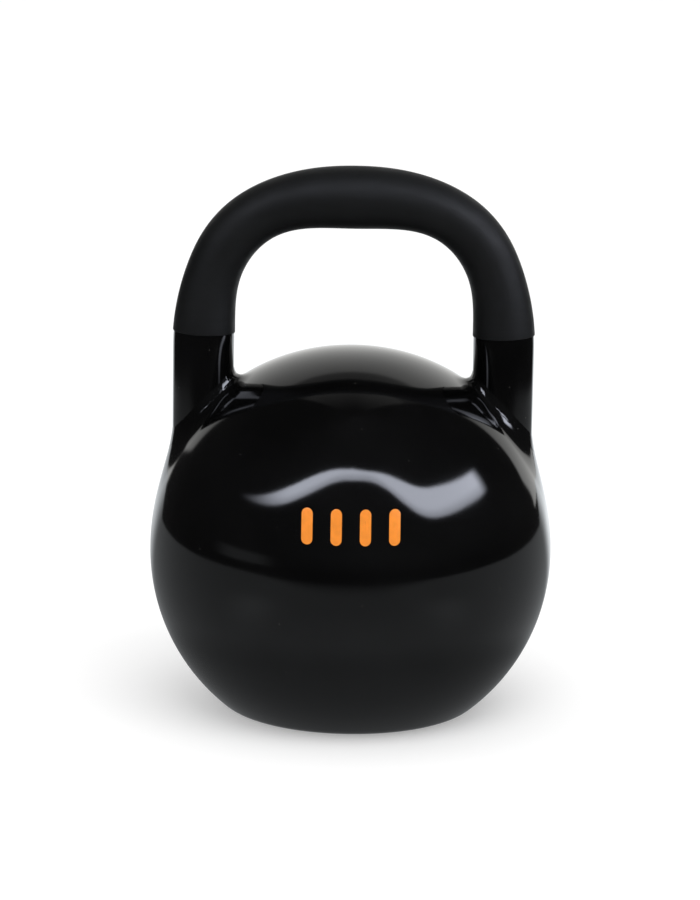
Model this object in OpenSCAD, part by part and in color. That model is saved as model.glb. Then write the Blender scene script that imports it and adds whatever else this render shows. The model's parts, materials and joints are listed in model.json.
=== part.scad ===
// Ballast-filled kettlebell with a fixed outer size: a cast ball with two raised shoulders, a bent
// handle bar set into sockets and welded round, a thin grip sleeve, and a filler plug in the base.
// Millimetres. The origin is the centre of the base, +Z is up, the handle's arch lies in the XZ plane
// and the weight mark faces -Y.

/* [Ball] */
// Diameter of the ball at its widest
ball_d = 210; // [200:1:220]
// Height of the ball's centre above the base
centre_h = 83; // [80:0.1:85]
// How much taller the crown is than half the ball's diameter
crown_rise = 1.8; // [1:0.1:4]
// Squareness of the upper half: 2 is an ellipse
crown_power = 2.07; // [2:0.01:2.2]
// Height of the rounded edge round the base
base_edge_h = 3; // [2:0.5:5]

/* [Shoulders] */
// Radius of the round core that each shoulder rises to
shoulder_core_r = 14.85; // [14:0.05:15.2]
// Reach of the blend between shoulder and ball
shoulder_blend = 11.5; // [8:0.5:14]
// Height above the ball's centre where the shoulder fades out
shoulder_root = 17; // [10:1:26]

/* [Handle bar] */
// Distance between the centre lines of the two legs
leg_spacing = 155.8; // [150:0.2:160]
// Diameter of the straight legs
leg_d = 31.8; // [30:0.1:33]
// Diameter of the bar in the middle of the grip
grip_bar_d = 31.8; // [30:0.1:33]
// Diameter of the bar in the two bends, where bending draws it thinner
bend_bar_d = 27.5; // [26:0.1:31]
// Height of the bar's centre line in the middle of the grip
grip_h = 269.2; // [262:0.1:275]
// Height where the legs stop being straight
arch_start = 185; // [180:1:190]
// Squareness of the arch: 2 is an ellipse
arch_power = 2.78; // [2.4:0.02:3]

/* [Grip sleeve] */
// Thickness of the sleeve
sleeve_t = 0.4; // [0.3:0.1:1]
// Angle along the arch where the sleeve ends, measured from its springing
sleeve_end_angle = 4.4; // [3:0.1:8]

/* [Sockets and welds] */
// Height of the sockets' floors above the base
socket_floor = 118; // [110:1:122]
// Clearance between a leg and its socket, on the radius
socket_gap = 0.05; // [0.02:0.01:0.2]
// Height of the weld fillet on the leg
weld_leg = 1.7; // [1:0.1:3]
// Width of the weld fillet on the shoulder
weld_toe = 1.7; // [1:0.1:3]
// Depth of the weld groove in the shoulder
weld_root = 1.3; // [0.8:0.1:2]

/* [Ballast and filler plug] */
// Diameter of the round ballast chamber
chamber_d = 122; // [100:0.1:124]
// Height of the ballast's flat underside above the base
ballast_floor = 26; // [24:0.5:30]
// Diameter over the plug's thread
plug_d = 30; // [24:1:32]
// Pitch of the thread
thread_pitch = 1.5; // [1:0.25:2]
// Height of the plug's end above the base
plug_top = 22.5; // [18:0.5:23]
// Diameter of the plug's collar
collar_d = 36; // [34:1:40]
// Thickness of the collar
collar_t = 4; // [3:0.5:6]
// How far the collar is sunk into the base
collar_sunk = 1; // [0.5:0.5:3]
// Thickness of the seal ring
seal_t = 1.5; // [1:0.5:2]
// Width of the slot across the plug, for a flat bar
slot_w = 3.5; // [2:0.1:3.8]
// Depth of the slot
slot_depth = 2.5; // [1.5:0.1:3]

/* [Weight mark] */
// Number of bars, one for each 8 kg
mark_bars = 4; // [1:1:5]
// Width of one bar
bar_w = 5.6; // [3:0.1:8]
// Length of one bar
bar_l = 17.5; // [10:0.5:22]
// Distance from one bar to the next
bar_pitch = 14.6; // [8:0.1:16]
// Height of the bars' middle above the base
mark_h = 118.5; // [105:0.5:125]
// How far the bars stand out of the ball
mark_proud = 0.12; // [0.05:0.01:0.3]
// How deep the bars are let into the ball
mark_depth = 0.5; // [0.3:0.1:1]

/* [Hidden] */

ball_r = ball_d / 2;
crown_h = ball_r + crown_rise;
leg_x = leg_spacing / 2;
leg_r = leg_d / 2;
arch_rise = grip_h - arch_start;
socket_r = leg_r + socket_gap;
collar_gap = 0.5;
plug_gap = 0.05;
thread_depth = 0.8;
collar_top = collar_sunk + collar_t;
seal_top = collar_top + seal_t;
chamfer = 0.5;
plug_end_h = 1;
thread_crest = [0.42, 0.58];
cut_over = 1;
top_clear = 30;
core_level = 0.3;

// The ball's mesh: rings from the crown to the base, with more of them round the shoulders
crown_rings = 25;
belly_rings = 12;
edge_rings = 3;
around = 96;
ring_crowding = 0.45;
column_crowding = 0.5;
search_steps = 16;

// The bar's mesh
bar_sides = 28;
arch_steps = 40;
bend_reach_x = 52;
bend_reach_z = 44;
bend_from_z = 192;

// The weld's mesh
weld_steps = 48;
groove_open = 6;
groove_bite = 0.6;
crown_share = 0.35;
toe_lift = 0.05;
toe_root_share = 0.6;

// ---------- the ball's skin, measured from the ball's centre ----------

function blend_min(a, b, k) =
    let (h = max(0, min(1, 0.5 + 0.5 * (b - a) / k)))
    b * (1 - h) + a * h - k * h * (1 - h);

// Radius of the crown along a direction whose sine of latitude is s and cosine is c
function crown_r(c, s) =
    pow(pow(c / ball_r, crown_power) + pow(s / crown_h, crown_power), -1 / crown_power);

function ball_field(p) =
    let (r = norm([p.x, p.y]), rho = norm(p))
    rho - crown_r(r / rho, max(p.z, 0) / rho);

// Distance outside the core of the nearer shoulder, held level under the leg, where the socket is cut
function shoulder_field(p) =
    max(norm([abs(p.x) - leg_x, p.y, min(p.z - shoulder_root, 0)]) - shoulder_core_r, core_level);

function skin_field(p) = blend_min(ball_field(p), shoulder_field(p), shoulder_blend);

// Where the skin crosses the line from point a, inside, to point b, outside
function skin_crossing(a, b, steps = search_steps) =
    let (m = (a + b) / 2)
    steps == 0 ? m :
    skin_field(m) < 0 ? skin_crossing(m, b, steps - 1) : skin_crossing(a, m, steps - 1);

// Height of the skin above the base at a place in plan
function skin_top(x, y) =
    skin_crossing([x, y, shoulder_root], [x, y, crown_h + top_clear]).z + centre_h;

// ---------- the ball's profile below its centre, as [radius, height] ----------

function belly_r(depth) = sqrt(ball_r * ball_r - depth * depth);

edge_depth = centre_h - base_edge_h;
edge_out = [belly_r(edge_depth), -edge_depth];
edge_slope = (belly_r(edge_depth) - belly_r(edge_depth + 0.01)) / 0.01;
edge_corner = [edge_out.x - edge_slope * base_edge_h, -centre_h];
edge_in = [edge_corner.x - norm(edge_corner - edge_out), -centre_h];

function edge_point(t) =
    (1 - t) * (1 - t) * edge_out + 2 * t * (1 - t) * edge_corner + t * t * edge_in;

lower_profile = [
    for (i = [1 : belly_rings]) let (d = edge_depth * i / belly_rings) [belly_r(d), -d],
    for (i = [1 : edge_rings]) edge_point(i / edge_rings)
];

// ---------- meshes ----------

// Steps from 0 to 1 that crowd together in the middle
function crowded(t) = t + ring_crowding * sin(360 * t) / 360 * 180 / PI;

// Longitudes that crowd together towards the two legs
function longitude(i) =
    let (a = 360 * i / around) a - column_crowding * sin(2 * a) / 2 * 180 / PI;

function crown_point(latitude, a) =
    let (u = [cos(latitude) * cos(a), cos(latitude) * sin(a), sin(latitude)])
    skin_crossing(u * ball_r * 0.98, u * (ball_r + top_clear));

ball_rings = concat(
    [for (i = [1 : crown_rings])
        let (latitude = 90 * (1 - crowded(i / crown_rings)))
        [for (j = [0 : around - 1]) crown_point(latitude, longitude(j))]],
    [for (q = lower_profile)
        [for (j = [0 : around - 1]) let (a = longitude(j)) [q.x * cos(a), q.x * sin(a), q.y]]]
);

// Faces between ring i and ring i + 1 of a mesh with n points in each ring, all seen from outside.
// With turned = true the rings are listed the other way along.
function band(i, n, wrap = 0, turned = false) = [
    for (j = [0 : n - 1])
        let (a = i * n + j, b = i * n + (j + 1) % n,
             k = (wrap > 0 ? (i + 1) % wrap : i + 1) * n, c = k + (j + 1) % n, d = k + j)
        each (turned ? [[c, b, a], [d, c, a]] : [[a, b, c], [a, c, d]])
];

// A closed mesh from a list of rings, with a fan to a point at each end
module capped_rings(rings, first, last) {
    n = len(rings[0]);
    m = len(rings);
    points = concat([for (r = rings) each r], [first, last]);
    faces = concat(
        [for (i = [0 : m - 2]) each band(i, n)],
        [for (j = [0 : n - 1]) [(j + 1) % n, j, m * n]],
        [for (j = [0 : n - 1]) [(m - 1) * n + j, (m - 1) * n + (j + 1) % n, m * n + 1]]
    );
    polyhedron(points = points, faces = faces, convexity = 6);
}

// A closed mesh from a list of rings that comes back to its first ring
module looped_rings(rings) {
    n = len(rings[0]);
    m = len(rings);
    polyhedron(
        points = [for (r = rings) each r],
        faces = [for (i = [0 : m - 1]) each band(i, n, m)],
        convexity = 6
    );
}

// ---------- the bar's centre line and thickness ----------

// Angle 0 is the springing of the right leg, 90 is the middle of the grip, 180 is the left leg's springing
function arch_point(t) = [
    sign(cos(t)) * leg_x * pow(abs(cos(t)), 2 / arch_power),
    arch_start + arch_rise * pow(max(0, sin(t)), 2 / arch_power)
];

function ease(u) = abs(u) >= 1 ? 0 : 0.5 * (1 + cos(180 * u));

function bar_r(q) =
    bend_bar_d / 2
    + (grip_bar_d - bend_bar_d) / 2 * ease(q.x / bend_reach_x)
    + (leg_d - bend_bar_d) / 2 * ease(max(0, q.y - bend_from_z) / bend_reach_z);

// Angles of the mesh's rings, evenly spaced between the sleeve's two ends
sleeve_angles = [
    for (i = [0 : arch_steps]) sleeve_end_angle + (180 - 2 * sleeve_end_angle) * i / arch_steps
];

// Direction across the bar in the arch's plane, pointing outwards
function arch_out(t) =
    let (a = arch_point(max(0, t - 0.05)), b = arch_point(min(180, t + 0.05)), v = (b - a) / norm(b - a))
    [v.y, -v.x];

function bar_ring(t, extra) =
    let (q = arch_point(t), out = arch_out(t), r = bar_r(q) - socket_gap + extra)
    [for (j = [0 : bar_sides - 1])
        let (a = 360 * j / bar_sides, u = r * cos(a))
        [q.x + u * out.x, -r * sin(a), q.y + u * out.y]];

// The ring at the top of a straight leg, just inside the leg's cylinder
function leg_ring(side) = [for (p = bar_ring(side > 0 ? 0 : 180, 0)) [p.x, p.y, arch_start - 1]];

// ---------- shapes used by more than one part ----------

module at_leg(side) {
    translate([side * leg_x, 0, 0]) children();
}

// Sections round a leg, following the line where it comes out of the shoulder. The bead and its groove
// have the same floor and outer wall, so the bead fills the groove. The bead's inner wall stands
// just clear of the leg, and the groove opens into the socket.
function weld_sections(side, is_groove) = [
    for (i = [0 : weld_steps - 1])
        let (a = -360 * i / weld_steps, u = [cos(a), sin(a)],
             near = is_groove ? leg_r - groove_bite : leg_r / cos(180 / weld_steps),
             far = leg_r + weld_toe, mid = leg_r + crown_share * weld_toe,
             // the skin's height at the leg, within the bead and at the bead's toe
             line = skin_top(side * leg_x + leg_r * u.x, leg_r * u.y),
             crown = skin_top(side * leg_x + mid * u.x, mid * u.y),
             toe = skin_top(side * leg_x + far * u.x, far * u.y),
             top = is_groove
                 ? [[near, line + groove_open], [far, line + groove_open]]
                 : [[near, line + weld_leg], [mid, crown + weld_leg / 2], [far, toe + toe_lift]],
             // [distance from the leg's axis, height]
             section = concat([[near, line - weld_root]], top,
                              [[far, toe - toe_root_share * weld_root], [mid, crown - weld_root]]))
        [for (s = section) [side * leg_x + s.x * u.x, s.x * u.y, s.y]]
];

module chamber() {
    translate([0, 0, centre_h]) sphere(d = chamber_d, $fn = 96);
}

// One upright bar with round ends, as a block that runs through the front of the ball
module mark_bar() {
    rotate([90, 0, 0]) linear_extrude(height = ball_d) {
        square([bar_w, bar_l - bar_w], center = true);
        for (end = [-1, 1]) translate([0, end * (bar_l - bar_w) / 2]) circle(d = bar_w, $fn = 32);
    }
}

// A shell that follows the ball's skin at the height of the mark
module mark_shell() {
    span = bar_l / 2 + 3;
    middle = mark_h - centre_h;
    steps = 12;
    edge = [
        for (i = [0 : steps])
            let (s = asin((middle - span + 2 * span * i / steps) / ball_r))
            crown_r(cos(s), sin(s)) * [cos(s), sin(s)]
    ];
    inner = [for (q = edge) q - mark_depth * q / norm(q)];
    outer = [for (q = edge) q + mark_proud * q / norm(q)];
    translate([0, 0, centre_h]) rotate_extrude($fn = 240)
        polygon(concat(outer, [for (i = [steps : -1 : 0]) inner[i]]));
}

module mark_bars() {
    intersection() {
        mark_shell();
        for (i = [0 : mark_bars - 1])
            translate([(i - (mark_bars - 1) / 2) * bar_pitch, 0, mark_h]) mark_bar();
    }
}

// ---------- the parts ----------

module ball_casting() {
    color("#101112") difference() {
        translate([0, 0, centre_h])
            capped_rings(ball_rings, [0, 0, crown_h], [0, 0, -centre_h]);
        chamber();
        translate([0, 0, -cut_over])
            cylinder(d = plug_d + 2 * plug_gap, h = centre_h, $fn = 64);
        translate([0, 0, -cut_over])
            cylinder(d = collar_d + 2 * collar_gap, h = seal_top + cut_over, $fn = 64);
        for (side = [-1, 1]) {
            at_leg(side) translate([0, 0, socket_floor])
                cylinder(r = socket_r, h = ball_r, $fn = 64);
            looped_rings(weld_sections(side, true));
        }
        mark_bars();
    }
}

module ballast_fill() {
    color("#8a8378") difference() {
        chamber();
        cylinder(d = chamber_d, h = ballast_floor, $fn = 64);
    }
}

module filler_plug() {
    turns = floor((plug_top - seal_top - plug_end_h) / thread_pitch);
    root_r = plug_d / 2 - thread_depth;
    thread_from = plug_top - plug_end_h - turns * thread_pitch;
    outline = concat(
        [[0, collar_sunk], [collar_d / 2 - chamfer, collar_sunk],
         [collar_d / 2, collar_sunk + chamfer],
         [collar_d / 2, collar_top], [root_r, collar_top]],
        [for (i = [0 : turns - 1]) let (z = thread_from + i * thread_pitch)
            each [[root_r, z], for (c = thread_crest) [plug_d / 2, z + c * thread_pitch]]],
        [[root_r, plug_top - plug_end_h], [root_r - plug_end_h, plug_top], [0, plug_top]]
    );
    color("#6f7276") difference() {
        rotate_extrude($fn = 96) polygon(outline);
        translate([-collar_d / 2 - cut_over, -slot_w / 2, collar_sunk - cut_over])
            cube([collar_d + 2 * cut_over, slot_w, slot_depth + cut_over]);
    }
}

module plug_seal_ring() {
    color("#2b2d2f") translate([0, 0, collar_top]) difference() {
        cylinder(d = collar_d, h = seal_t, $fn = 64);
        translate([0, 0, -cut_over])
            cylinder(d = plug_d + 4 * plug_gap, h = seal_t + 2 * cut_over, $fn = 64);
    }
}

module handle_bar() {
    rings = concat(
        [leg_ring(1)],
        [for (t = [0, sleeve_end_angle / 2]) bar_ring(t, 0)],
        [for (t = sleeve_angles) bar_ring(t, 0)],
        [for (t = [180 - sleeve_end_angle / 2, 180]) bar_ring(t, 0)],
        [leg_ring(-1)]
    );
    color("#141516") {
        capped_rings(rings, [leg_x, 0, arch_start - 1], [-leg_x, 0, arch_start - 1]);
        for (side = [-1, 1]) at_leg(side) translate([0, 0, socket_floor])
            cylinder(r = leg_r, h = arch_start - socket_floor, $fn = 64);
    }
}

module weld_bead(side) {
    color("#1b1c1d") looped_rings(weld_sections(side, false));
}

module weld_bead_left() {
    weld_bead(-1);
}

module weld_bead_right() {
    weld_bead(1);
}

module grip_sleeve() {
    outer = [for (t = sleeve_angles) bar_ring(t, sleeve_t)];
    inner = [for (t = sleeve_angles) bar_ring(t, 0)];
    n = bar_sides;
    m = len(sleeve_angles);
    inner_from = m * n;
    color("#26282a") polyhedron(
        points = concat([for (r = outer) each r], [for (r = inner) each r]),
        faces = concat(
            [for (i = [0 : m - 2]) each band(i, n)],
            [for (i = [0 : m - 2]) each [for (f = band(i, n, 0, true)) [for (k = f) k + inner_from]]],
            [for (j = [0 : n - 1]) let (k = (j + 1) % n)
                each [[k, j, inner_from + j], [k, inner_from + j, inner_from + k]]],
            [for (j = [0 : n - 1]) let (k = (j + 1) % n, b = (m - 1) * n, c = inner_from + b)
                each [[b + j, b + k, c + k], [b + j, c + k, c + j]]]
        ),
        convexity = 6
    );
}

module weight_mark() {
    color("#f08a1e") mark_bars();
}

ball_casting();
ballast_fill();
filler_plug();
plug_seal_ring();
handle_bar();
weld_bead_left();
weld_bead_right();
grip_sleeve();
weight_mark();
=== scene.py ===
"""Looks for a ballast-filled kettlebell: gloss black ball and legs, a matt grip sleeve, weld beads round
the legs, an orange mark, and the filler plug in the base. The object's lengths are in millimetres until a
mesh is made, and the studio's are in metres."""

import json
import math

import bmesh
import bpy
import numpy as np
from mathutils import Matrix, Vector


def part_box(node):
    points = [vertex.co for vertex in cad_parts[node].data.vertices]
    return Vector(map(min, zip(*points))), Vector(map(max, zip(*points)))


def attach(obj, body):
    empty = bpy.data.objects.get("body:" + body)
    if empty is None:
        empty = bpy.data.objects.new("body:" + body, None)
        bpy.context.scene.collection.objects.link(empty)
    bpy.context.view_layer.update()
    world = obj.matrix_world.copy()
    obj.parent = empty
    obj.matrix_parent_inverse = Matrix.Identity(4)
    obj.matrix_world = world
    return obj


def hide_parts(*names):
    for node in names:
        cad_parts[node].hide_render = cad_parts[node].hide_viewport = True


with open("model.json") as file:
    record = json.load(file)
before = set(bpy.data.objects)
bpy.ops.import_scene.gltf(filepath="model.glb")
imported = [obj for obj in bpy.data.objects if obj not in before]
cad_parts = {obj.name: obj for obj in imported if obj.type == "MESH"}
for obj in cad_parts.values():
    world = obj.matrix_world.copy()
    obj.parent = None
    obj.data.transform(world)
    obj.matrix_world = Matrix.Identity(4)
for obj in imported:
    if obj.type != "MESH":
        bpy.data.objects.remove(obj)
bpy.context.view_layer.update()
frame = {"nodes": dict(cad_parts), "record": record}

MM = 0.001
SLOT_COLOUR = {m["slot"]: m["base_color"] for m in frame["record"]["materials"]}


# ---------- sizes ----------

# the ball, whose centre is above the base and whose crown is a little higher and fuller than a sphere's
ball_low, ball_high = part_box("ball_casting")
BALL_R = (ball_high[0] / MM - ball_low[0] / MM) / 2
CENTRE_H = 83.0
CROWN_H = BALL_R + 1.8
CROWN_POWER = 2.07
EDGE_H = 3.0

# the shoulders: a core round each leg, blended into the ball
CORE_R = 14.85
BLEND = 11.5
SHOULDER_ROOT = 17.0
CORE_LEVEL = 0.3

# the handle and its sleeve; the bar thins towards the bends over the two reaches
LEG_X = 77.9
LEG_R = 15.9
GRIP_R = 15.9
BEND_R = 13.75
GRIP_H = 269.2
ARCH_START = 185.0
ARCH_POWER = 2.78
BEND_REACH_X = 52.0
BEND_REACH_Z = 44.0
BEND_FROM_Z = 192.0
SLEEVE_END_ANGLE = 4.4
SLEEVE_T = 0.4
SOCKET_GAP = 0.05
SOCKET_FLOOR = 118.0
WELD_LEG = 1.7
WELD_TOE = 1.7

# the stepped filler hole and the chamber over it
PLUG_R = 15.05
COLLAR_R = 18.5
COLLAR_RECESS = 6.5
HOLE_LIP = 0.4
CHAMBER_R = 61.0

# the mark on the front
MARK_BARS = 4
BAR_W = 5.6
BAR_L = 17.5
BAR_PITCH = 14.6
MARK_H = 118.5
MARK_PROUD = 0.12


# ---------- the ball's skin, measured from the ball's centre ----------

# the skin is looked for between a share of the ball's radius and this far outside it
WELL_OUTSIDE = 30.0
JUST_INSIDE = 0.98


def smooth_min(a, b, k):
    """The smaller of two distances, with the step between them rounded over a width k."""
    h = np.clip(0.5 + 0.5 * (b - a) / k, 0, 1)
    return b * (1 - h) + a * h - k * h * (1 - h)


def crown_r(c, s):
    """Radius of the ball in a direction with this cosine and sine of its elevation."""
    return ((c / BALL_R) ** CROWN_POWER + (s / CROWN_H) ** CROWN_POWER) ** (-1 / CROWN_POWER)


def skin_field(p):
    """Below 0 inside the ball and its shoulders, above 0 outside."""
    r = np.hypot(p[..., 0], p[..., 1])
    rho = np.linalg.norm(p, axis=-1)
    ball = rho - crown_r(r / rho, np.maximum(p[..., 2], 0) / rho)
    below_root = np.minimum(p[..., 2] - SHOULDER_ROOT, 0)
    from_leg = np.stack([np.abs(p[..., 0]) - LEG_X, p[..., 1], below_root], -1)
    shoulder = np.maximum(np.linalg.norm(from_leg, axis=-1) - CORE_R, CORE_LEVEL)
    return smooth_min(ball, shoulder, BLEND)


def skin_crossing(inside, outside, steps=36):
    """Where the skin crosses the lines between two arrays of points."""
    a, b = inside.astype(float), outside.astype(float)
    for _ in range(steps):
        middle = (a + b) / 2
        is_in = (skin_field(middle) < 0)[..., None]
        a, b = np.where(is_in, middle, a), np.where(is_in, b, middle)
    return (a + b) / 2


def skin_top(x, y):
    """Height of the skin above the ball's centre at places in plan."""
    low = np.stack([x, y, np.full_like(x, SHOULDER_ROOT)], -1)
    high = np.stack([x, y, np.full_like(x, CROWN_H + WELL_OUTSIDE)], -1)
    return skin_crossing(low, high)[..., 2]


def belly_r(depth):
    """Radius of the ball at a depth below its centre."""
    return np.sqrt(BALL_R**2 - depth**2)


# ---------- meshes ----------

def make_piece(name, points, faces, stands_for, sharp_angle=35):
    """A piece of the object from points in millimetres above the base. It rides on the one body."""
    mesh = bpy.data.meshes.new(name)
    mesh.from_pydata((np.asarray(points) * MM).tolist(), [], faces)
    mesh.validate()
    mesh.shade_smooth()
    mesh.set_sharp_from_angle(angle=math.radians(sharp_angle))
    piece = bpy.data.objects.new(name, mesh)
    bpy.context.scene.collection.objects.link(piece)
    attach(piece, "root")
    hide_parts(*stands_for)
    return piece


def ring_faces(rings, n, closed_rings=False):
    """Quads between neighbouring rings of n points. With closed_rings the last ring meets the first."""
    faces = []
    for i in range(rings if closed_rings else rings - 1):
        a, b = i * n, ((i + 1) % rings) * n
        faces += [(a + j, b + j, b + (j + 1) % n, a + (j + 1) % n) for j in range(n)]
    return faces


def fan(ring_start, n, tip, turned):
    """Triangles from a ring of n points to a point, facing the other way if turned."""
    faces = []
    for j in range(n):
        here, after = ring_start + j, ring_start + (j + 1) % n
        faces.append((after, here, tip) if turned else (here, after, tip))
    return faces


# ---------- the ball ----------

AROUND = 384
CROWN_RINGS = 130
BELLY_RINGS = 66
EDGE_RINGS = 6
CHAMBER_RINGS = 20
# how much closer the points stand round the legs than elsewhere
LEG_CROWDING = 0.3
# a ring of points on the flat of the base, and how far from a socket its open edge may lie
BASE_RING_R = COLLAR_R + 12
RIM_MARGIN = 2.0


def base_edge():
    """The rounded edge round the base, as [radius, height from the centre]."""
    depth = CENTRE_H - EDGE_H
    start = np.array([belly_r(depth), -depth])
    slope = (belly_r(depth) - belly_r(depth + 0.01)) / 0.01
    corner = np.array([start[0] - slope * EDGE_H, -CENTRE_H])
    end = np.array([corner[0] - np.linalg.norm(corner - start), -CENTRE_H])
    steps = np.linspace(0, 1, EDGE_RINGS + 1)[1:, None]
    return (1 - steps) ** 2 * start + 2 * steps * (1 - steps) * corner + steps**2 * end


def ball_rings():
    """Rings of the ball from the crown down, under the base, up the filler hole and round the chamber."""
    turn = 2 * math.pi * np.arange(AROUND) / AROUND
    turn = turn - LEG_CROWDING * np.sin(2 * turn) / 2
    cos, sin = np.cos(turn), np.sin(turn)
    latitude = np.radians(90) * (1 - np.arange(1, CROWN_RINGS + 1) / CROWN_RINGS)
    lat = latitude[:, None]
    level = np.broadcast_to(np.sin(lat), (CROWN_RINGS, AROUND))
    rays = np.stack([np.cos(lat) * cos, np.cos(lat) * sin, level], -1)
    upper = skin_crossing(rays * BALL_R * JUST_INSIDE, rays * (BALL_R + WELL_OUTSIDE))
    depth = (CENTRE_H - EDGE_H) * np.arange(1, BELLY_RINGS + 1) / BELLY_RINGS
    belly = np.stack([belly_r(depth), -depth], -1)
    underside = [[BASE_RING_R, -CENTRE_H], [COLLAR_R + HOLE_LIP, -CENTRE_H], [COLLAR_R, HOLE_LIP - CENTRE_H],
                 [COLLAR_R, COLLAR_RECESS - CENTRE_H], [PLUG_R + HOLE_LIP, COLLAR_RECESS - CENTRE_H],
                 [PLUG_R, COLLAR_RECESS + HOLE_LIP - CENTRE_H]]
    low_angle = math.asin(PLUG_R / CHAMBER_R)
    inner_angle = np.linspace(low_angle, math.pi, CHAMBER_RINGS, endpoint=False)
    chamber = CHAMBER_R * np.stack([np.sin(inner_angle), -np.cos(inner_angle)], -1)
    profile = np.concatenate([belly, base_edge(), underside, chamber])
    radius, height = profile[:, :1], profile[:, 1:]
    lower = np.stack([radius * cos, radius * sin, np.broadcast_to(height, (len(profile), AROUND))], -1)
    return np.concatenate([upper, lower])


def open_sockets(mesh_points, faces):
    """Opens a round socket for each leg: the skin's edge is pulled onto the circle and drawn down."""
    bm = bmesh.new()
    verts = [bm.verts.new(p) for p in mesh_points]
    for f in faces:
        bm.faces.new([verts[i] for i in f])
    socket_r = LEG_R + SOCKET_GAP
    for side in (-1, 1):
        def reach(v):
            return math.hypot(v.co.x - side * LEG_X, v.co.y)
        inside = [v for v in bm.verts if v.co.z > SHOULDER_ROOT and reach(v) < socket_r]
        marked = set(inside)
        covered = [f for f in bm.faces if all(v in marked for v in f.verts)]
        bmesh.ops.delete(bm, geom=covered, context="FACES")
        inside = [v for v in inside if v.is_valid]
        bmesh.ops.delete(bm, geom=[v for v in inside if not v.link_faces], context="VERTS")
        rim = [v for v in inside if v.is_valid]
        for v in rim:
            out = Vector((v.co.x - side * LEG_X, v.co.y)).normalized() * socket_r
            v.co.x, v.co.y = side * LEG_X + out.x, out.y
        places = np.array([v.co for v in rim])
        for v, z in zip(rim, skin_top(places[:, 0], places[:, 1])):
            v.co.z = z
        near = socket_r + RIM_MARGIN
        edges = [e for e in bm.edges if e.is_boundary and all(reach(v) < near for v in e.verts)]
        lowered = {}
        for v in (v for e in edges for v in e.verts):
            if v not in lowered:
                lowered[v] = bm.verts.new((v.co.x, v.co.y, SOCKET_FLOOR - CENTRE_H))
        for a, b in (e.verts for e in edges):
            bm.faces.new((a, b, lowered[b], lowered[a]))
        bm.faces.new(sorted(lowered.values(), key=lambda v: math.atan2(v.co.y, v.co.x - side * LEG_X)))
    bmesh.ops.recalc_face_normals(bm, faces=bm.faces)
    points = [tuple(v.co) for v in bm.verts]
    bm.verts.index_update()
    faces = [tuple(v.index for v in f.verts) for f in bm.faces]
    bm.free()
    return points, faces


def build_ball():
    rings = ball_rings()
    count = len(rings)
    points = np.concatenate([rings.reshape(-1, 3), [[0, 0, CROWN_H]], [[0, 0, CHAMBER_R]]])
    faces = ring_faces(count, AROUND)
    faces += fan(0, AROUND, count * AROUND, False)
    faces += fan((count - 1) * AROUND, AROUND, count * AROUND + 1, True)
    points, faces = open_sockets(points, faces)
    points = np.array(points) + [0, 0, CENTRE_H]
    return make_piece("ball", points, faces, ["ball_casting"])


# ---------- the handle ----------

BAR_SIDES = 80
ARCH_RINGS = 200
SLEEVE_RINGS = 230
LEG_RINGS = 14
ARCH_SAMPLES = 20001
# the sleeve's rounded lips: how far they reach along, how far they drop, and where their middle ring is
LIP_RUN = 0.22
LIP_R = 0.16
LIP_MIDDLE = 0.3


def ease(u):
    """1 at 0, falling smoothly to 0 at 1 either way."""
    return np.where(np.abs(u) >= 1, 0, 0.5 * (1 + np.cos(np.pi * np.clip(u, -1, 1))))


def arch_points(angle):
    """Centre line of the arch at angles from 0, the right springing, to pi, the left, as [x, z]."""
    c, s = np.cos(angle), np.maximum(np.sin(angle), 0)
    x = np.sign(c) * LEG_X * np.abs(c) ** (2 / ARCH_POWER)
    z = ARCH_START + (GRIP_H - ARCH_START) * s ** (2 / ARCH_POWER)
    return np.stack([x, z], -1)


def evenly_along(start_angle, end_angle, count):
    """Points of the arch evenly spaced along its length."""
    fine = start_angle + (end_angle - start_angle) * (0.5 - 0.5 * np.cos(np.linspace(0, np.pi, ARCH_SAMPLES)))
    line = arch_points(fine)
    run = np.concatenate([[0], np.cumsum(np.linalg.norm(np.diff(line, axis=0), axis=1))])
    wanted = np.linspace(0, run[-1], count)
    return np.stack([np.interp(wanted, run, line[:, 0]), np.interp(wanted, run, line[:, 1])], -1)


def bar_r(line):
    """Radius of the bar along its centre line: full in the grip and the legs, thinner in the bends.

    The gap that keeps the bar clear of its sockets is taken off all along it.
    """
    thick_grip = (GRIP_R - BEND_R) * ease(line[:, 0] / BEND_REACH_X)
    thick_leg = (LEG_R - BEND_R) * ease(np.maximum(0, line[:, 1] - BEND_FROM_Z) / BEND_REACH_Z)
    return BEND_R + thick_grip + thick_leg - SOCKET_GAP


def sweep(line, radii, sides):
    """Rings of points round a centre line in the XZ plane, square to it."""
    way = np.gradient(line, axis=0)
    way /= np.linalg.norm(way, axis=1)[:, None]
    out = np.stack([way[:, 1], -way[:, 0]], -1)
    turn = 2 * math.pi * np.arange(sides) / sides
    across = radii[:, None] * np.cos(turn)
    x = line[:, :1] + across * out[:, :1]
    z = line[:, 1:] + across * out[:, 1:]
    y = radii[:, None] * np.sin(turn)
    return np.stack([x, y, z], -1)


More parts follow.
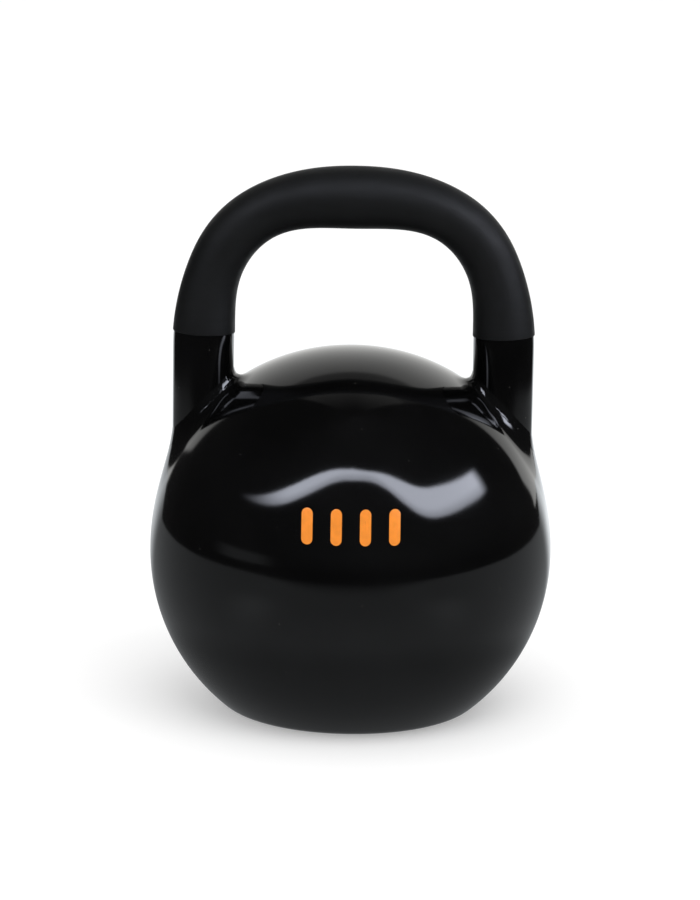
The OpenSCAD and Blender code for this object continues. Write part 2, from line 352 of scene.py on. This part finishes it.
def build_handle_bar():
    arch = evenly_along(0, math.pi, ARCH_RINGS)
    leg_z = np.linspace(SOCKET_FLOOR, ARCH_START, LEG_RINGS, endpoint=False)
    right = np.stack([np.full(LEG_RINGS, LEG_X), leg_z], -1)
    left = np.stack([np.full(LEG_RINGS, -LEG_X), leg_z[::-1]], -1)
    line = np.concatenate([right, arch, left])
    rings = sweep(line, bar_r(line), BAR_SIDES)
    points = np.concatenate([rings.reshape(-1, 3), [[LEG_X, 0, SOCKET_FLOOR]], [[-LEG_X, 0, SOCKET_FLOOR]]])
    faces = [f[::-1] for f in ring_faces(len(line), BAR_SIDES)]
    faces += fan(0, BAR_SIDES, len(rings) * BAR_SIDES, True)
    faces += fan((len(rings) - 1) * BAR_SIDES, BAR_SIDES, len(rings) * BAR_SIDES + 1, False)
    return make_piece("handle_bar_painted", points, faces, ["handle_bar"])


def build_sleeve():
    """A thin tube over the arch with rounded lips, closed through its inner wall."""
    end = math.radians(SLEEVE_END_ANGLE)
    line = evenly_along(end, math.pi - end, SLEEVE_RINGS)
    radii = bar_r(line)
    way = np.gradient(line, axis=0)
    way /= np.linalg.norm(way, axis=1)[:, None]
    inner = sweep(line, radii, BAR_SIDES)
    outer = sweep(line, radii + SLEEVE_T, BAR_SIDES)
    # the lips: the outer skin's last rings drop round a small radius to the end faces
    for index, inward in ((0, 1), (-1, -1)):
        step = np.array([way[index][0], 0, way[index][1]]) * inward
        end_ring = sweep(line, radii + SLEEVE_T - LIP_R, BAR_SIDES)[index]
        middle = sweep(line, radii + SLEEVE_T - LIP_MIDDLE * LIP_R, BAR_SIDES)[index]
        lip = [end_ring, middle + step * LIP_MIDDLE * LIP_RUN, outer[index] + step * LIP_RUN]
        if index == 0:
            outer = np.concatenate([lip, outer[1:]])
        else:
            outer = np.concatenate([outer[:-1], lip[::-1]])
    loop = np.concatenate([outer, inner[::-1]])
    faces = [f[::-1] for f in ring_faces(len(loop), BAR_SIDES, closed_rings=True)]
    return make_piece("grip_sleeve_tube", loop.reshape(-1, 3), faces, ["grip_sleeve"],
                      sharp_angle=60)


# ---------- the weld beads ----------

WELD_STEPS = 240
WELD_RINGS = 7
RIPPLE = 0.06
RIPPLES_ROUND = 34
# slower changes in a bead's width, each a share of it and a number of times round
SWAY, SWAYS_ROUND = 0.08, 3
WANDER, WANDERS_ROUND = 0.05, 7
# how hollow the fillet is, how proud its leg side stands, and how deep its hidden sides go
WELD_HOLLOW = 1.7
WELD_PROUD = 0.03
WELD_BURIED = 0.6
LEG_OVERLAP = 0.02


def build_weld(side, name, node):
    """A fillet round a leg along the line where it leaves the shoulder, with the ripples of a hand weld."""
    turn = 2 * math.pi * np.arange(WELD_STEPS) / WELD_STEPS
    ripples = RIPPLE * np.sin(RIPPLES_ROUND * turn)
    wobble = 1 + ripples + SWAY * np.sin(SWAYS_ROUND * turn + side) + WANDER * np.sin(WANDERS_ROUND * turn)
    u = np.stack([np.cos(turn), np.sin(turn)], -1)

    def place(radius):
        return side * LEG_X + radius * u[:, 0], radius * u[:, 1]

    def skin(radius):
        return skin_top(*place(radius)) + CENTRE_H

    toe_r = LEG_R + WELD_TOE * wobble
    line, toe = skin(np.full(WELD_STEPS, LEG_R)), skin(toe_r)
    section = [(np.full(WELD_STEPS, LEG_R - LEG_OVERLAP), line - WELD_BURIED)]
    for share in np.linspace(0, 1, WELD_RINGS):
        radius = LEG_R + (toe_r - LEG_R) * share
        rise = WELD_LEG * wobble * (1 - share) ** WELD_HOLLOW
        section.append((radius, skin(radius) + rise + WELD_PROUD * (1 - share)))
    section.append((toe_r, toe - WELD_BURIED))
    rings = np.stack([np.stack([*place(r), z], -1) for r, z in section], 1)
    faces = ring_faces(WELD_STEPS, len(section), closed_rings=True)
    return make_piece(name, rings.reshape(-1, 3), faces, [node], sharp_angle=50)


# ---------- the mark ----------

END_POINTS = 24
SIDE_POINTS = 12
# across a bar, from its buried edge to its flat middle: [distance in from the outline, height over the skin]
BAR_SECTION = [(0, -0.3), (0, 0.02), (0.06, 0.08), (0.18, MARK_PROUD), (0.6, MARK_PROUD), (1.3, MARK_PROUD),
               (2.0, MARK_PROUD), (2.78, MARK_PROUD)]


def front_skin(x, z):
    """Points of the ball's front at places across and above the base."""
    inside = np.stack([x, np.zeros_like(x), z - CENTRE_H], -1)
    outside = inside + [0, -BALL_R - WELL_OUTSIDE, 0]
    return skin_crossing(inside, outside)


def bar_outline(inset):
    """An upright bar with round ends, set in by a distance, centred on its own middle."""
    r = BAR_W / 2 - inset
    half = (BAR_L - BAR_W) / 2
    turn = np.linspace(0, np.pi, END_POINTS)
    run = np.linspace(half, -half, SIDE_POINTS + 2)[1:-1]
    top = np.stack([r * np.cos(turn), half + r * np.sin(turn)], -1)
    left = np.stack([np.full(SIDE_POINTS, -r), run], -1)
    return np.concatenate([top, left, -top, -left])


def build_mark():
    """Upright bars that follow the ball's front, in a row."""
    sides = 2 * (END_POINTS + SIDE_POINTS)
    points, faces = [], []
    for index in range(MARK_BARS):
        middle = (index - (MARK_BARS - 1) / 2) * BAR_PITCH
        start = len(points)
        for inset, height in BAR_SECTION:
            place = bar_outline(inset)
            on_skin = front_skin(place[:, 0] + middle, place[:, 1] + MARK_H)
            outward = on_skin / np.linalg.norm(on_skin, axis=1)[:, None]
            points += (on_skin + outward * height + [0, 0, CENTRE_H]).tolist()
        faces += [tuple(start + k for k in f) for f in ring_faces(len(BAR_SECTION), sides)]
        last = start + (len(BAR_SECTION) - 1) * sides
        faces += [tuple(last + k for k in range(sides))]
        faces += [tuple(start + k for k in reversed(range(sides)))]
    return make_piece("mark_bars_painted", points, faces, ["weight_mark"], sharp_angle=80)


# ---------- materials ----------

class Shader:
    """A node material with one Principled shader, and short ways to add to it."""

    def __init__(self, name, slot, **values):
        self.material = bpy.data.materials.new(name)
        self.material.use_nodes = True
        self.tree = self.material.node_tree
        self.principled = self.tree.nodes["Principled BSDF"]
        self.base = SLOT_COLOUR[slot]
        self.set(**{"Base Color": (*self.base, 1)})
        self.set(**values)
        self.place = self.node("ShaderNodeTexCoord").outputs["Object"]

    def set(self, **values):
        for socket, value in values.items():
            self.principled.inputs[socket].default_value = value

    def node(self, kind, **settings):
        made = self.tree.nodes.new(kind)
        for key, value in settings.items():
            setattr(made, key, value)
        return made

    def link(self, output, target):
        self.tree.links.new(output, target)

    def noise(self, size_mm, detail=2.0, rough=0.5, stretch=(1, 1, 1), warp=0.0):
        """Noise whose blobs are about size_mm across."""
        scaled = self.node("ShaderNodeMapping")
        scaled.inputs["Scale"].default_value = [s / (size_mm * MM) for s in stretch]
        self.link(self.place, scaled.inputs["Vector"])
        made = self.node("ShaderNodeTexNoise")
        made.inputs["Scale"].default_value = 1.0
        made.inputs["Detail"].default_value = detail
        made.inputs["Roughness"].default_value = rough
        made.inputs["Distortion"].default_value = warp
        self.link(scaled.outputs["Vector"], made.inputs["Vector"])
        return made.outputs["Fac"]

    def specks(self, spacing_mm, radius_share):
        """Sparse round dots, 1 at their middles and 0 between them."""
        cells = self.node("ShaderNodeTexVoronoi")
        cells.inputs["Scale"].default_value = 1 / (spacing_mm * MM)
        cells.inputs["Randomness"].default_value = 1.0
        self.link(self.place, cells.inputs["Vector"])
        return self.ramp(cells.outputs["Distance"], 0, radius_share, 1, 0)

    def ramp(self, value, low, high, at_low, at_high):
        """A smooth change from at_low to at_high as the value goes from low to high."""
        made = self.node("ShaderNodeMapRange", interpolation_type="SMOOTHSTEP")
        self.link(value, made.inputs["Value"])
        for key, number in (("From Min", low), ("From Max", high), ("To Min", at_low), ("To Max", at_high)):
            made.inputs[key].default_value = number
        return made.outputs["Result"]

    def maths(self, operation, a, b):
        """Maths on two values, each an output or a plain number."""
        made = self.node("ShaderNodeMath", operation=operation)
        for socket, value in zip(made.inputs, (a, b)):
            if isinstance(value, (int, float)):
                socket.default_value = value
            else:
                self.link(value, socket)
        return made.outputs["Value"]

    def split(self):
        """The place on the object as X, Y and Z outputs."""
        made = self.node("ShaderNodeSeparateXYZ")
        self.link(self.place, made.inputs["Vector"])
        return made

    def mix(self, share, a, b):
        """A colour from a, where share is 0, to b, where it is 1."""
        made = self.node("ShaderNodeMix", data_type="RGBA")
        self.link(share, made.inputs[0])
        for socket, colour in ((made.inputs[6], a), (made.inputs[7], b)):
            if isinstance(colour, tuple):
                socket.default_value = (*colour, 1)
            else:
                self.link(colour, socket)
        return made.outputs[2]

    def bumps(self, layers, coat_too=True):
        """Layers of (height from 0 to 1, depth in mm) as one chain of bumps."""
        normal = None
        for height, depth_mm in layers:
            made = self.node("ShaderNodeBump")
            made.inputs["Strength"].default_value = 1.0
            made.inputs["Distance"].default_value = depth_mm * MM
            self.link(height, made.inputs["Height"])
            if normal is not None:
                self.link(normal, made.inputs["Normal"])
            normal = made.outputs["Normal"]
        self.link(normal, self.principled.inputs["Normal"])
        if coat_too:
            self.link(normal, self.principled.inputs["Coat Normal"])

    def give(self, *objects):
        for o in objects:
            o.data.materials.clear()
            o.data.materials.append(self.material)


# dust on the gloss and on the rubber, iron where the paint is worn off, and the grit in the ballast
NIB_COLOUR = (0.4, 0.39, 0.36)
DUST_COLOUR = (0.12, 0.12, 0.12)
WORN_COLOUR = (0.045, 0.044, 0.043)
GRIT_COLOUR = (0.06, 0.055, 0.05)
GRIT_SIZE = 3.2
TURNING_PITCH = 0.35


def shade(colour, factor):
    return tuple(min(1, c * factor) for c in colour)


def lacquer(name, slot, peel_mm, swell_mm, scuffed_base):
    """Gloss black enamel: a soft orange peel, long swells of the metal under it, and a few dust nibs.

    With scuffed_base the paint is worn off where the object stands.
    """
    m = Shader(name, slot, **{"IOR": 1.5})
    cloud = m.noise(38, detail=3)
    peel = m.noise(2.6, detail=1.5, rough=0.45)
    swell = m.noise(24, detail=1.0)
    fine = m.noise(0.7, detail=1.0)
    nibs = m.specks(9, 0.028)
    colour = m.mix(m.ramp(cloud, 0.35, 0.7, 0, 1), shade(m.base, 0.3), shade(m.base, 0.5))
    colour = m.mix(m.maths("MULTIPLY", nibs, 0.6), colour, NIB_COLOUR)
    gloss = m.ramp(m.noise(55, detail=4), 0.3, 0.75, 0.06, 0.10)
    if scuffed_base:
        scratch = m.noise(1.4, detail=5, rough=0.7, warp=2.0)
        near_floor = m.ramp(m.split().outputs["Z"], 0.3 * MM, 2.2 * MM, 1, 0)
        worn = m.maths("MULTIPLY", near_floor, m.ramp(scratch, 0.42, 0.6, 0.15, 1))
        colour = m.mix(worn, colour, WORN_COLOUR)
        gloss = m.maths("MAXIMUM", gloss, m.maths("MULTIPLY", worn, 0.5))
    m.link(colour, m.principled.inputs["Base Color"])
    m.link(gloss, m.principled.inputs["Roughness"])
    m.bumps([(swell, swell_mm), (peel, peel_mm), (fine, 0.0014), (nibs, 0.05)])
    return m


def sleeve_material():
    """Matt shrink-on rubber: a fine grain, faint rub marks along the grip and a little dust."""
    m = Shader("matt_grip_rubber", "sleeve_rubber", **{"Specular IOR Level": 0.28})
    grain = m.noise(0.32, detail=3, rough=0.6)
    grit = m.noise(0.9, detail=2)
    cloud = m.noise(26, detail=4)
    rubbed = m.noise(5, detail=3, stretch=(0.25, 1, 1))
    colour = m.mix(m.ramp(cloud, 0.3, 0.75, 0, 1), shade(m.base, 0.42), shade(m.base, 0.62))
    specks = m.specks(7.5, 0.02)
    colour = m.mix(m.maths("MULTIPLY", specks, 0.5), colour, DUST_COLOUR)
    m.link(colour, m.principled.inputs["Base Color"])
    rough = m.maths("ADD", m.ramp(rubbed, 0.3, 0.75, 0.50, 0.60), m.ramp(grain, 0.3, 0.7, 0, 0.05))
    m.link(rough, m.principled.inputs["Roughness"])
    m.bumps([(grain, 0.018), (grit, 0.014)], coat_too=False)
    return m


# the record's orange times this gives the printed mark's deeper orange
MARK_TINT = (0.87, 0.58, 0.3)


def mark_material():
    """Orange marking enamel, with a soft print grain and slightly thin patches."""
    m = Shader("orange_mark_enamel", "mark_paint", **{"Specular IOR Level": 0.5, "Coat Weight": 0.15,
                                                     "Coat Roughness": 0.2})
    thin = m.noise(3.5, detail=4)
    deep = tuple(c * t for c, t in zip(m.base, MARK_TINT))
    colour = m.mix(m.ramp(thin, 0.3, 0.75, 0, 1), shade(deep, 0.88), deep)
    m.link(colour, m.principled.inputs["Base Color"])
    m.link(m.ramp(m.noise(1.2), 0.3, 0.7, 0.28, 0.42), m.principled.inputs["Roughness"])
    m.bumps([(m.noise(0.8, detail=2), 0.008)])
    return m


def plug_material():
    """Turned steel with a dull zinc finish: rings round the axis, blotches and small scratches."""
    m = Shader("zinc_plated_steel", "plug_steel", Metallic=1.0)
    parts = m.split()
    from_axis = m.node("ShaderNodeVectorMath", operation="LENGTH")
    flat = m.node("ShaderNodeCombineXYZ")
    m.link(parts.outputs["X"], flat.inputs["X"])
    m.link(parts.outputs["Y"], flat.inputs["Y"])
    m.link(flat.outputs["Vector"], from_axis.inputs[0])
    rings = m.maths("MULTIPLY", from_axis.outputs["Value"], 2 * math.pi / (TURNING_PITCH * MM))
    turned = m.maths("SINE", rings, 0)
    blotch = m.noise(6, detail=4)
    scratch = m.noise(2.0, detail=5, rough=0.7, stretch=(0.2, 1, 1), warp=1.0)
    colour = m.mix(m.ramp(blotch, 0.3, 0.7, 0, 1), shade(m.base, 0.8), shade(m.base, 1.25))
    m.link(colour, m.principled.inputs["Base Color"])
    m.link(m.ramp(scratch, 0.3, 0.7, 0.30, 0.48), m.principled.inputs["Roughness"])
    m.bumps([(turned, 0.006), (scratch, 0.02)], coat_too=False)
    return m


def seal_material():
    """Plain black rubber with a fine grain."""
    m = Shader("seal_ring_rubber", "seal_rubber")
    colour = m.mix(m.noise(1.5, detail=3), shade(m.base, 0.8), shade(m.base, 1.3))
    m.link(colour, m.principled.inputs["Base Color"])
    m.link(m.ramp(m.noise(0.8), 0.3, 0.7, 0.6, 0.75), m.principled.inputs["Roughness"])
    m.bumps([(m.noise(0.4, detail=2), 0.02)], coat_too=False)
    return m


def ballast_material():
    """Mortar with iron grit in it."""
    m = Shader("grit_and_mortar", "ballast")
    grit = m.node("ShaderNodeTexVoronoi", feature="F1")
    grit.inputs["Scale"].default_value = 1 / (GRIT_SIZE * MM)
    m.link(m.place, grit.inputs["Vector"])
    grains = m.ramp(grit.outputs["Distance"], 0.2, 0.45, 0, 1)
    mortar = m.mix(m.noise(9, detail=5), shade(m.base, 0.8), shade(m.base, 1.2))
    m.link(m.mix(grains, GRIT_COLOUR, mortar), m.principled.inputs["Base Color"])
    m.link(m.ramp(grit.outputs["Distance"], 0.1, 0.5, 0.6, 0.95), m.principled.inputs["Roughness"])
    m.bumps([(grit.outputs["Distance"], 0.4), (m.noise(0.8, detail=4), 0.1)], coat_too=False)
    return m


# ---------- the object ----------

ball = build_ball()
bar = build_handle_bar()
sleeve = build_sleeve()
weld_left = build_weld(-1, "weld_bead_left_painted", "weld_bead_left")
weld_right = build_weld(1, "weld_bead_right_painted", "weld_bead_right")
mark = build_mark()

lacquer("gloss_black_ball", "ball_coat", peel_mm=0.004, swell_mm=0.05, scuffed_base=True).give(ball)
lacquer("gloss_black_bar", "bar_coat", peel_mm=0.004, swell_mm=0.02, scuffed_base=False).give(bar)
weld_lacquer = lacquer("gloss_black_weld", "weld_coat", peel_mm=0.012, swell_mm=0.03, scuffed_base=False)
weld_lacquer.give(weld_left, weld_right)
sleeve_material().give(sleeve)
mark_material().give(mark)
plug_material().give(frame["nodes"]["filler_plug"])
seal_material().give(frame["nodes"]["plug_seal_ring"])
ballast_material().give(frame["nodes"]["ballast_fill"])


# ---------- the studio ----------

# What the gloss sees of the studio is told by direction from the ball, in degrees: azimuth 0 is the front,
# -Y, and 90 is +X, and elevation is above the horizon. The camera itself sees none of it.

# the reflection sphere: its radius, its grid, the steepest elevation of a row, and half the width of an edge
DOME_R = 2.4
AZIMUTH_STEPS = 361
ELEVATION_STEPS = 301
STEEPEST = 89.9
SHARP = 1.2

# the table's sheet: its grid, its nearest ring, its gap from the sphere, and how far it lies under the base
DISTANCE_STEPS = 120
NEAREST = 0.03
DOME_GAP = 0.02
TABLE_DROP = 0.0005
TABLE_COLOUR = (0.93, 0.97, 1.0)

# brightness of the parts of the studio that have nothing in them, and of the world
DARK_LEVEL = 0.025
WORLD_LEVEL = 0.95

# the floor and the lamp
FLOOR_HALF = 30
FLOOR_DROP = 0.0002
FLOOR_WHITE = 0.7
FLOOR_GLOW = 0.34
KEY_AZIMUTH, KEY_ELEVATION, KEY_AWAY = 18, 58, 2.2
KEY_WIDE, KEY_DEEP = 1.8, 1.0
KEY_POWER = 16


def toward(azimuth, elevation):
    """The unit vector that points there."""
    a, e = np.radians(azimuth), np.radians(elevation)
    return np.stack([np.sin(a) * np.cos(e), -np.cos(a) * np.cos(e), np.sin(e) * np.ones_like(a)], -1)


def fade(value, at_zero, at_one):
    """A smooth step from 0 to 1 as the value goes from at_zero to at_one."""
    t = np.clip((value - at_zero) / (at_one - at_zero), 0, 1)
    return t * t * (3 - 2 * t)


def hump(value, width, power):
    """1 at 0, falling either way to about a third at width. A higher power makes it flatter and steeper."""
    return np.exp(-(np.abs(value) / width) ** power)


def softbox(azimuth, elevation):
    """A long softbox over the front. It bends back and down on both sides, and is deeper on the right."""
    left_low = 25 + 23 * hump(azimuth, 36, 2.5)
    left_high = 25 + 30 * hump(azimuth, 49, 2.8)
    right_low = 21 + 27 * hump(azimuth, 36.5, 3.7)
    right_high = 44.5 - 0.14 * azimuth + 10.8 * hump(azimuth, 41.6, 5.4)
    low = np.where(azimuth < 0, left_low, right_low)
    high = np.where(azimuth < 0, left_high, right_high)
    inside = fade(elevation, low - SHARP, low + SHARP) * fade(elevation, high + 1.0, high - 1.4)
    dimmer_low = 0.6 + 0.4 * fade(elevation, low, low + 6)
    return inside * dimmer_low * fade(azimuth, -77, -40) * fade(azimuth, 98, 89)


def back_wall(azimuth, elevation):
    """The pale sheet behind, brightest at the horizon and fading upwards, with a dark seam high up."""
    from_back = 180 - np.abs(azimuth)
    left_reach = 45 - 11 * fade(elevation, 14, 4)
    right_reach = 49 - 5 * fade(elevation, 8, 0)
    reach = np.where(azimuth < 0, left_reach, right_reach)
    across = fade(from_back, reach + SHARP, reach - SHARP) * (1 - 0.25 * fade(from_back, 20, 45))
    seam = 1 - 0.65 * fade(elevation, 48, 52) * fade(elevation, 66, 62)
    brighter_right = 1 + 0.3 * hump(azimuth - 143, 22, 3)
    upwards = np.clip(1 - 0.0132 * (elevation - 8), 0, 1)
    return across * seam * brighter_right * upwards * fade(elevation, -30, -16)


def table_top(azimuth, distance):
    """The dim table, with edges at the front and the sides, and the pale sheet on it behind the ball, both
    with the ball's shadow painted in: darker close to the ball.
    """
    front = hump(azimuth, 42, 3)
    behind = fade(np.abs(azimuth), 134, 150)
    edge = 0.9 - 0.29 * front + 1.5 * behind
    soft = 0.03 + 0.2 * front
    # painted shadow of the ball: the table is darker within about 0.12 m of it
    dim = 0.17 + 0.08 * fade(distance, 0.12, 0.17) + 0.04 * front * fade(distance, 0.3, 0.16)
    dim += 0.13 * hump(np.abs(azimuth) - 48, 12, 2) * hump(distance - 0.28, 0.09, 2)
    dim += 0.07 * hump(azimuth - 105, 40, 3) * fade(distance, 0.12, 0.16)
    # painted shadow of the ball: the pale sheet behind darkens towards the ball
    pale = (0.13 + 0.92 * fade(distance, 0.08, 0.62)) * (1 + 0.6 * hump(azimuth - 143, 22, 3))
    return (dim + (pale - dim) * behind) * fade(distance, edge + soft, edge - soft)


def room(azimuth, elevation):
    """What little of the room shows over the softbox."""
    return hump(azimuth - 25, 75, 3) * fade(elevation, -5, 8)


def left_stand(azimuth, elevation):
    """Something low and dim on the left, past the table."""
    return hump(azimuth + 62, 16, 4) * fade(elevation, 3.5, 1.5) * fade(elevation, -12, -8)


# [what, how bright, its colour]
STUDIO_PARTS = [
    (softbox, 10.2, (0.83, 0.87, 1.0)),
    (back_wall, 1.06, (1.0, 1.0, 0.98)),
    (room, 0.04, (0.9, 0.95, 1.0)),
    (left_stand, 0.2, (0.93, 0.97, 1.0)),
]


def glow_material(name):
    """Emission as a mesh's glow attribute says, which isn't sampled as a lamp."""
    material = bpy.data.materials.new(name)
    material.use_nodes = True
    material.cycles.emission_sampling = "NONE"
    tree = material.node_tree
    tree.nodes.clear()
    out = tree.nodes.new("ShaderNodeOutputMaterial")
    shine = tree.nodes.new("ShaderNodeEmission")
    said = tree.nodes.new("ShaderNodeAttribute")
    said.attribute_name = "glow"
    tree.links.new(said.outputs["Color"], shine.inputs["Color"])
    tree.links.new(shine.outputs["Emission"], out.inputs["Surface"])
    return material


def glow_sheet(name, points, glow):
    """A sheet from a grid of points in metres, each with a glow, which only the gloss sees."""
    rows, columns = points.shape[:2]
    corners = [i * columns + j for i in range(rows - 1) for j in range(columns - 1)]
    faces = [(k, k + 1, k + columns + 1, k + columns) for k in corners]
    mesh = bpy.data.meshes.new(name)
    mesh.from_pydata(points.reshape(-1, 3).tolist(), [], faces)
    said = mesh.color_attributes.new("glow", "FLOAT_COLOR", "POINT")
    said.data.foreach_set("color", np.concatenate([glow, np.ones_like(glow[..., :1])], -1).ravel())
    mesh.materials.append(glow_material(name + "_glow"))
    made = bpy.data.objects.new(name, mesh)
    bpy.context.scene.collection.objects.link(made)
    made.visible_camera = False
    made.visible_shadow = False
    made.visible_diffuse = False
    made.visible_transmission = False


def build_reflections():
    """A sphere round the set that shows the gloss the studio's parts, and a sheet that shows it the table,
    with the ball's shadow painted in close to the ball.
    """
    all_round = np.linspace(-180, 180, AZIMUTH_STEPS)
    azimuth, elevation = np.meshgrid(all_round, np.linspace(-STEEPEST, STEEPEST, ELEVATION_STEPS))
    glow = np.full((*azimuth.shape, 3), DARK_LEVEL)
    for part, strength, colour in STUDIO_PARTS:
        glow += part(azimuth, elevation)[..., None] * strength * np.array(colour)
    centre = np.array([0, 0, CENTRE_H * MM])
    glow_sheet("studio_reflection", centre + DOME_R * toward(azimuth, elevation), glow)
    azimuth, distance = np.meshgrid(all_round, np.geomspace(NEAREST, DOME_R - DOME_GAP, DISTANCE_STEPS))
    # the table's glow, with painted shadow of the ball close to it
    glow = DARK_LEVEL + table_top(azimuth, distance)[..., None] * np.array(TABLE_COLOUR)
    glow_sheet("table_reflection", toward(azimuth, 0) * distance[..., None] - [0, 0, TABLE_DROP], glow)


def build_floor():
    """The pale floor, which glows a little so that it runs into the background."""
    mesh = bpy.data.meshes.new("floor")
    corners = [(-1, -1), (1, -1), (1, 1), (-1, 1)]
    mesh.from_pydata([(x * FLOOR_HALF, y * FLOOR_HALF, -FLOOR_DROP) for x, y in corners], [], [(0, 1, 2, 3)])
    floor = bpy.data.objects.new("floor", mesh)
    bpy.context.scene.collection.objects.link(floor)
    material = bpy.data.materials.new("pale_floor")
    material.use_nodes = True
    shader = material.node_tree.nodes["Principled BSDF"]
    shader.inputs["Base Color"].default_value = (FLOOR_WHITE, FLOOR_WHITE, FLOOR_WHITE, 1)
    shader.inputs["Emission Color"].default_value = (1, 1, 1, 1)
    shader.inputs["Emission Strength"].default_value = FLOOR_GLOW
    shader.inputs["Roughness"].default_value = 0.9
    shader.inputs["Specular IOR Level"].default_value = 0.0
    mesh.materials.append(material)
    floor.visible_glossy = False


def build_world():
    """Even white light for everything but the gloss, which sees the reflection sphere instead."""
    world = bpy.data.worlds.new("studio")
    world.use_nodes = True
    world.cycles_visibility.glossy = False
    bpy.context.scene.world = world
    background = world.node_tree.nodes["Background"]
    background.inputs["Color"].default_value = (1, 1, 1, 1)
    background.inputs["Strength"].default_value = WORLD_LEVEL


def build_key_light():
    """A large soft lamp over the front and right, for the matt surfaces and the floor's soft shadow."""
    light = bpy.data.lights.new("key", "AREA")
    light.shape = "RECTANGLE"
    light.size, light.size_y = KEY_WIDE, KEY_DEEP
    light.energy = KEY_POWER
    key = bpy.data.objects.new("key", light)
    bpy.context.scene.collection.objects.link(key)
    place = Vector(toward(KEY_AZIMUTH, KEY_ELEVATION)) * KEY_AWAY
    key.location = place
    key.rotation_euler = (-place).to_track_quat("-Z", "Y").to_euler()
    key.visible_glossy = False
    key.visible_camera = False


build_reflections()
build_floor()
build_world()
build_key_light()
bpy.context.scene.view_settings.view_transform = "Standard"


# ---------- the camera ----------

# the angles in degrees, the point it looks at, and how far off it stands, in metres
PITCH = 12.7
ROLL = 0.914
AIM = Vector((-1.05, 0, 135.86)) * MM
AWAY = 2.0
SENSOR_WIDTH = 36
LENS = 153.2

camera_data = bpy.data.cameras.new("camera")
camera_data.sensor_width = SENSOR_WIDTH
camera_data.lens = LENS
camera_data.clip_start, camera_data.clip_end = 0.05, 100
camera = bpy.data.objects.new("camera", camera_data)
bpy.context.scene.collection.objects.link(camera)
back = Vector(toward(0, PITCH))
camera.location = AIM + back * AWAY
level = (-back).to_track_quat("-Z", "Y").to_matrix().to_4x4()
camera.rotation_euler = (level @ Matrix.Rotation(math.radians(ROLL), 4, "Z")).to_euler()
bpy.context.scene.camera = camera
